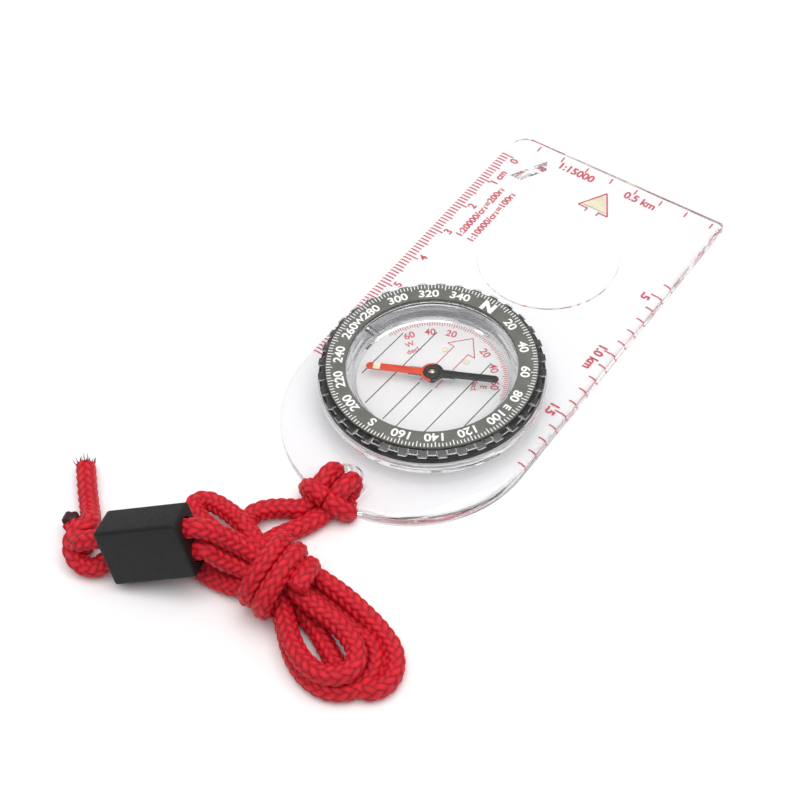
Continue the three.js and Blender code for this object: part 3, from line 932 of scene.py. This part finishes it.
CAPITAL_SHARE = 0.7
INK_THICKNESS = 0.02 * MM
INK_GAP = 0.01 * MM


class Ink:
    """Collects flat strokes and letters, then makes one thin printed layer of them."""

    def __init__(self, low, thickness=INK_THICKNESS):
        self.low = low
        self.thickness = thickness
        self.vertices = []
        self.faces = []

    def solid(self, outline):
        """A flat shape with this outline."""
        start = len(self.vertices)
        for z in (self.low, self.low + self.thickness):
            self.vertices += [(x, y, z) for x, y in outline]
        self.faces += [tuple(start + i for i in face) for face in prism_faces(len(outline))]

    def stroke(self, first, last, width):
        a = Vector(first)
        b = Vector(last)
        side = (b - a).normalized().orthogonal() * width / 2
        self.solid([tuple(a - side), tuple(b - side), tuple(b + side), tuple(a + side)][::-1])

    def letters(self, text, place, height, angle=0.0, bold=0.0, stretch=1.0):
        """Text centred on a place. height is that of a capital."""
        curve = bpy.data.curves.new("letters", "FONT")
        curve.body = text
        curve.size = height / CAPITAL_SHARE
        curve.align_x = "CENTER"
        curve.align_y = "CENTER"
        curve.offset = bold
        curve.extrude = self.thickness / 2
        holder = new_object("letters", curve)
        depsgraph = bpy.context.evaluated_depsgraph_get()
        mesh = bpy.data.meshes.new_from_object(holder.evaluated_get(depsgraph))
        turn = Matrix.Rotation(angle, 4, "Z") @ Matrix.Diagonal((stretch, 1, 1, 1))
        move = Matrix.Translation((place[0], place[1], self.low + self.thickness / 2))
        mesh.transform(move @ turn)
        start = len(self.vertices)
        self.vertices += [tuple(v.co) for v in mesh.vertices]
        self.faces += [tuple(start + i for i in p.vertices) for p in mesh.polygons]
        bpy.data.objects.remove(holder)
        bpy.data.meshes.remove(mesh)

    def make(self, name, material, body, slot):
        finish_piece(mesh_object(name, self.vertices, self.faces, material), body, slot)


def polar(radius, bearing):
    """A point round the dial's axis, by compass bearing."""
    angle = math.radians(bearing + DIAL_BEARING)
    return DIAL.x + radius * math.sin(angle), DIAL.y + radius * math.cos(angle)


PRINT_CORNER = (-25.2, 49.45)
LINE = 0.34 * MM
ARROW_LINE = 0.36 * MM
LABEL_BOLD = 0.06 * MM
TOP_BOLD = 0.08 * MM
SIDE_BOLD = 0.1 * MM
QUARTER = math.pi / 2


def plate_point(x, y):
    """From the printed scales' own corner, in millimetres, to the frame."""
    return (x + PRINT_CORNER[0]) * MM, (y + PRINT_CORNER[1]) * MM


def ruler(ink):
    """The left edge: a millimetre ruler, its numbers and two notes on map scales."""
    for i in range(76):
        end = 0.1 if i % 10 == 0 else (-0.5 if i % 5 == 0 else -0.9)
        ink.stroke(plate_point(-2.75, -i), plate_point(end, -i), LINE)
    for i in (0, *range(2, 8)):
        place = plate_point(1.0, -10 * i + (1.1 if i else -0.9))
        ink.letters(str(i), place, 1.9 * MM, QUARTER, LABEL_BOLD)
    ink.letters("1 cm", plate_point(0.9, -7.6), 1.8 * MM, QUARTER, LABEL_BOLD)
    ink.letters("1:20000/cm=200m", plate_point(3.6, -19.4), 1.65 * MM, QUARTER, LABEL_BOLD, 1.06)
    ink.letters("1:10000/cm=100m", plate_point(6.7, -19.4), 1.65 * MM, QUARTER, LABEL_BOLD, 1.06)


def map_scale(ink):
    """Tenths of a kilometre along the top edge at 1:15000 and along the right edge at 1:25000."""
    for k in range(1, 9):
        x = -2.99 + 6.667 * k
        ink.stroke(plate_point(x, 5.0), plate_point(x, 6.7), LINE)
    ink.letters("1:15000", plate_point(15.2, 3.9), 2.1 * MM, bold=TOP_BOLD)
    ink.letters("0.5 km", plate_point(32.6, 3.9), 2.1 * MM, bold=TOP_BOLD)
    for k in range(4, 20):
        start = 49.6 if k % 5 == 0 else 50.6
        ink.stroke(plate_point(start, -4 * k), plate_point(52.6, -4 * k), LINE)
    for text, y in ((".5", -21.2), ("1.0 km", -42.6), ("1.5", -60)):
        ink.letters(text, plate_point(48.9, y), 2.0 * MM, -QUARTER, SIDE_BOLD)


def travel_arrow(ink):
    """The outline of the luminous arrow head, with the start of its shaft."""
    base = -4.7
    shaft = (23.6, 26.6)
    corners = [(shaft[0], base), (21.2, base), (25, 1.8), (29, base), (shaft[1], base)]
    for first, last in zip(corners, corners[1:]):
        ink.stroke(plate_point(*first), plate_point(*last), ARROW_LINE)
    for x in shaft:
        ink.stroke(plate_point(x, base + 0.1), plate_point(x, base - 1.1), LINE)


def plate_prints(red):
    ink = Ink(0.05 * MM)
    ruler(ink)
    map_scale(ink)
    travel_arrow(ink)
    ink.make("plate_scales", red, "plate", "luminous")


def dial_point(x, y):
    """From the dial's own axes, in millimetres with north along y, to the frame."""
    return polar(math.hypot(x, y) * MM, math.degrees(math.atan2(x, y)))


def dial_letters(ink, text, radius, bearing, height, bold, stretch=1.0):
    """Letters that stand on a circle round the axis with their tops outward."""
    turn = -math.radians(bearing + DIAL_BEARING)
    ink.letters(text, polar(radius * MM, bearing), height * MM, turn, bold, stretch)


def ticks(ink, degrees, long_start, short_start, end, width):
    """Radial marks, longer at each tenth degree. The radii are in millimetres."""
    for degree in degrees:
        start = long_start if degree % 10 == 0 else short_start
        ink.stroke(polar(start * MM, degree), polar(end * MM, degree), width)


def ring_prints(white):
    ink = Ink(RING_TOP + 0.005 * MM, 0.015 * MM)
    ticks(ink, range(0, 360, 2), 21.0, 21.45, 22.35, 0.2 * MM)
    words = {90: "E", 180: "S", 270: "W"}
    for degree in [*range(20, 360, 20), 90, 270]:
        height = 1.5 if degree in (90, 270) else 1.9
        dial_letters(ink, words.get(degree, str(degree)), 19.75, degree, height, 0.07 * MM, 1.12)
    dial_letters(ink, "N", 19.75, 0, 2.4, 0.22 * MM, 1.2)
    ink.make("degree_scale", white, "dial", "grey_print")


MERIDIANS = ((1.7, -14.6, -2.2), (7.3, -13.4, 11.0), (13.0, -7.6, 6.4))
ORIENTING_ARROW = [(-1.9, -1.5), (-1.9, 10.0), (-3.6, 10.0), (0, 14.2), (3.6, 10.0), (1.9, 10.0), (1.9, -1.5)]
DISC_LINE = 0.22 * MM


def disc_prints(black, red):
    """Three layers on the disc: meridian lines, orienting arrow and declination scale."""
    lines = Ink(DISC_TOP + INK_GAP)
    for x, south, north in MERIDIANS:
        for side in (-x, x):
            lines.stroke(dial_point(side, south), dial_point(side, north), DISC_LINE)
    lines.make("meridian_lines", black, "dial", "black_plastic")
    arrow = Ink(DISC_TOP + INK_GAP)
    for first, last in zip(ORIENTING_ARROW, ORIENTING_ARROW[1:]):
        arrow.stroke(dial_point(*first), dial_point(*last), DISC_LINE)
    arrow.make("orienting_arrow", red, "dial", "needle_red")
    scale = Ink(DISC_TOP + INK_GAP)
    ticks(scale, range(-74, 76, 2), 14.85, 15.15, 15.95, 0.16 * MM)
    for side, word in ((-1, "W"), (1, "E")):
        for degree in (20, 40, 60):
            dial_letters(scale, str(degree), 13.2, side * degree, 1.7, 0.04 * MM)
        dial_letters(scale, word, 10.9, side * 64, 1.3, 0.03 * MM)
        dial_letters(scale, "decl.", 9.0, side * 64, 1.2, 0.03 * MM)
    scale.make("declination_scale", red, "dial", "needle_red")


# --- dial

GRIPS = 36
GRIP_RECESS = 23.45 * MM
GRIP_HALF_SHARE = 0.30
GRIP_SHOULDER = 0.08
GRIP_RING = [
    (18.7, 7.3), (20.2, 7.3), (20.2, 9.2), (24.2, 9.2), (24.2, 9.55), (22.6, 10.05), (18.2, 10.05),
    (18.2, 9.65), (18.7, 9.65),
]
LIQUID = [(0, 2.1), (16.4, 2.1), (16.4, 5.0), (16.9, 5.3), (16.9, 8.1), (0, 8.1)]
WINDOW_STEP = 0.05 * MM
PIN_SHOULDER = 4.5 * MM
PIN_TIP_RADIUS = 0.07 * MM
PIN_TIP_ROUND = 0.05 * MM


def grip_radius(angle, radius):
    """The grip ring's rim: soft-shouldered grips with a recess between them."""
    part = (angle / (2 * math.pi) * GRIPS) % 1.0
    rise = min(max((GRIP_HALF_SHARE - abs(part - 0.5)) / GRIP_SHOULDER, 0.0), 1.0)
    rise = rise * rise * (3 - 2 * rise)
    if radius < GRIP_RECESS:
        return radius
    return GRIP_RECESS + (radius - GRIP_RECESS) * (1 - rise)


def outer_size(node):
    """A round node's outer radius, its lowest z and its highest z."""
    low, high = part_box(node)
    return (high.x - low.x) / 2, low.z, high.z


def make_ring(name, node, slot, inner, material, corner, segments, sink=0.0):
    """A plain ring of its CAD node's outer radius and height. sink closes part of the gap under it."""
    radius, low, high = outer_size(node)
    low -= sink
    profile = [(inner, low), (radius, low), (radius, high), (inner, high)]
    ring = lathe(name, profile, DIAL, material, corner, segments)
    finish_piece(ring, "dial", slot, node)


def make_capsule(acrylic, liquid):
    """The cup and its window as one clear block, with the liquid inside it."""
    cup_radius, bottom, _ = outer_size("capsule_cup")
    window_radius, window_low, top = outer_size("capsule_window")
    profile = [(0, bottom), (cup_radius, bottom), (cup_radius, window_low - WINDOW_STEP),
               (window_radius, window_low), (window_radius, top), (0, top)]
    capsule = lathe("capsule_clear", profile, DIAL, acrylic, 0.2 * MM, 256)
    finish_piece(capsule, "dial", "clear_acrylic", "capsule_cup", "capsule_window")
    fill = lathe("capsule_liquid", in_metres(LIQUID), DIAL, liquid, 0.15 * MM, 256)
    finish_piece(fill, "dial", "clear_acrylic")


def make_dots(luminous):
    """The two luminous dots, turned with the printed dial."""
    for name in ("luminous_dot_left", "luminous_dot_right"):
        low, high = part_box(name)
        place = ((low + high) / 2 - DIAL) / MM
        radius = (high.x - low.x) / 2
        profile = [(0, low.z), (radius, low.z), (radius, high.z), (0, high.z)]
        dot = lathe(name + "_paint", profile, dial_point(place.x, place.y), luminous, 0.1 * MM, 40)
        finish_piece(dot, "dial", "luminous", name)


def make_pin(steel):
    radius, foot, tip = outer_size("pivot_pin")
    profile = [(0, foot), (radius, foot), (radius, PIN_SHOULDER), (PIN_TIP_RADIUS, tip - PIN_TIP_ROUND),
               (0, tip)]
    pin = lathe("pivot_pin_steel", profile, DIAL, steel, 0.04 * MM, 48)
    finish_piece(pin, "dial", "steel", "pivot_pin")


def make_dial(acrylic, liquid, milky, ring_grey, black, luminous, steel):
    grip = lathe("grip_ring_clear", in_metres(GRIP_RING), DIAL, acrylic, 0.1 * MM, GRIPS * 24, grip_radius)
    finish_piece(grip, "dial", "clear_acrylic", "grip_ring")
    make_ring("scale_ring_grey", "scale_ring", "grey_print", 18.3 * MM, ring_grey, 0.12 * MM, 256, 0.03 * MM)
    make_ring("seat_ring_black", "seat_ring", "black_plastic", 20.5 * MM, black, 0.2 * MM, 256)
    make_capsule(acrylic, liquid)
    make_ring("orienting_disc_milky", "orienting_disc", "clear_acrylic", 0.95 * MM, milky, 0.05 * MM, 256)
    make_ring("retaining_ring_clear", "retaining_ring", "clear_acrylic", 18.55 * MM, acrylic, 0.1 * MM, 192)
    make_dots(luminous)
    make_pin(steel)
    paint_cad_piece("filler_plug", steel)


# --- needle

NEEDLE_TURN = math.radians(-244.5)
HUB_RADIUS = 2.5
BLADE_HALF_WIDTH = 0.95
NEEDLE_REACH = 14.2
HUB_HOLE = 0.95
SPLIT = 0.005
NEEDLE_ROUND = 0.07 * MM
SAME_LEVEL = 1e-7
CAP_HOLE = 0.9 * MM
CAP_RADIUS = 1.9 * MM
JEWEL_RADIUS = 0.75 * MM
SOCKET_RADIUS = 0.45 * MM
SOCKET_TOP = 6.4 * MM


def half_outline():
    """Half of the hub with its blade along +Y and half of the hub's hole, in millimetres."""
    corner = math.acos(BLADE_HALF_WIDTH / HUB_RADIUS)
    outline = arc(HUB_RADIUS, HUB_RADIUS, 0, corner, 12)
    outline += arc(BLADE_HALF_WIDTH, BLADE_HALF_WIDTH, 0, math.pi, 16, (0, NEEDLE_REACH - BLADE_HALF_WIDTH))
    outline += arc(HUB_RADIUS, HUB_RADIUS, math.pi - corner, math.pi, 12)
    outline += arc(HUB_HOLE, HUB_HOLE, math.pi, 0, 16, (0, SPLIT))
    return outline


def needle_half(name, node, slot, turn, material):
    """One painted half of the needle, turned to its bearing."""
    low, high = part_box(node)
    half = prism(name, in_metres(half_outline()), low.z, high.z, material)
    edges = bmesh.new()
    edges.from_mesh(half.data)
    rim = [e for e in edges.edges if abs(e.verts[0].co.z - e.verts[1].co.z) < SAME_LEVEL]
    bmesh.ops.bevel(edges, geom=rim, offset=NEEDLE_ROUND, segments=2, profile=0.5, affect="EDGES")
    edges.to_mesh(half.data)
    edges.free()
    half.data.transform(Matrix.Translation((DIAL.x, DIAL.y, 0)) @ Matrix.Rotation(turn, 4, "Z"))
    sharpen(half, 40)
    finish_piece(half, "needle", slot, node)


def make_cap(black):
    _, low, high = outer_size("hub_cap")
    profile = [(CAP_HOLE, low), (CAP_RADIUS, low), (CAP_RADIUS, high - 0.15 * MM), (1.6 * MM, high),
               (CAP_HOLE, high)]
    cap = lathe("hub_cap_black", profile, DIAL, black, 0.1 * MM, 64)
    finish_piece(cap, "needle", "needle_black", "hub_cap")


def make_jewel(brass):
    """The bearing: a rounded cap with a cone inside it that sits on the pin."""
    _, low, high = outer_size("jewel_bearing")
    profile = [(SOCKET_RADIUS, low), (JEWEL_RADIUS, low), (JEWEL_RADIUS, high - 0.35 * MM),
               (0.5 * MM, high - 0.08 * MM), (0, high), (0, SOCKET_TOP)]
    jewel = lathe("jewel_cap", profile, DIAL, brass, 0.08 * MM, 48)
    finish_piece(jewel, "needle", "jewel", "jewel_bearing")


def make_needle(luminous, steel):
    red = moulded_material("needle_red", (0.75, 0.065, 0.02), 0.32, 3000.0, 0.1)
    black = moulded_material("needle_black", (0.012, 0.012, 0.013), 0.3, 3000.0, 0.1)
    brass = metal_material("jewel", (0.62, 0.55, 0.38), 0.2)
    needle_half("needle_north_red", "needle_north", "needle_red", NEEDLE_TURN, red)
    needle_half("needle_south_black", "needle_south", "needle_black", NEEDLE_TURN + math.pi, black)
    make_cap(black)
    make_jewel(brass)
    paint_cad_piece("luminous_strip", luminous)
    paint_cad_piece("needle_magnet", steel)


# --- everything

def main():
    scene = bpy.context.scene
    scene.view_settings.view_transform = "Standard"
    scene.cycles.max_bounces = 40
    scene.cycles.transmission_bounces = 32
    scene.cycles.glossy_bounces = 32
    scene.cycles.transparent_max_bounces = 32
    make_camera()
    make_lanyard()
    make_bead()
    make_key_light()
    make_room()
    make_floor()
    acrylic = clear_material("clear_acrylic", (0.985, 0.987, 0.99), ACRYLIC_INDEX, 0.98)
    liquid = immersed_material("damping_liquid", (0.998, 0.998, 0.998), LIQUID_INDEX / ACRYLIC_INDEX)
    milky = milky_material("disc_milky")
    red_ink = print_material("red_ink", (0.52, 0.02, 0.05), (0.72, 0.16, 0.2))
    white_ink = print_material("white_ink", (0.93, 0.93, 0.92), (0.85, 0.85, 0.83))
    black_ink = print_material("black_ink", (0.02, 0.02, 0.022), (0.05, 0.05, 0.05))
    ring_grey = moulded_material("ring_grey", (0.16, 0.16, 0.145), 0.4, 2500.0, 0.12)
    black = moulded_material("black_plastic", (0.012, 0.012, 0.013), 0.35, 2500.0, 0.15)
    luminous = moulded_material("luminous_paint", (0.88, 0.82, 0.6), 0.6, 3000.0, 0.3)
    steel = metal_material("steel", (0.5, 0.51, 0.53), 0.3)
    make_plate(acrylic)
    plate_prints(red_ink)
    make_dial(acrylic, liquid, milky, ring_grey, black, luminous, steel)
    ring_prints(white_ink)
    disc_prints(black_ink, red_ink)
    make_needle(luminous, steel)
    paint_cad_piece("luminous_arrow", luminous)


main()
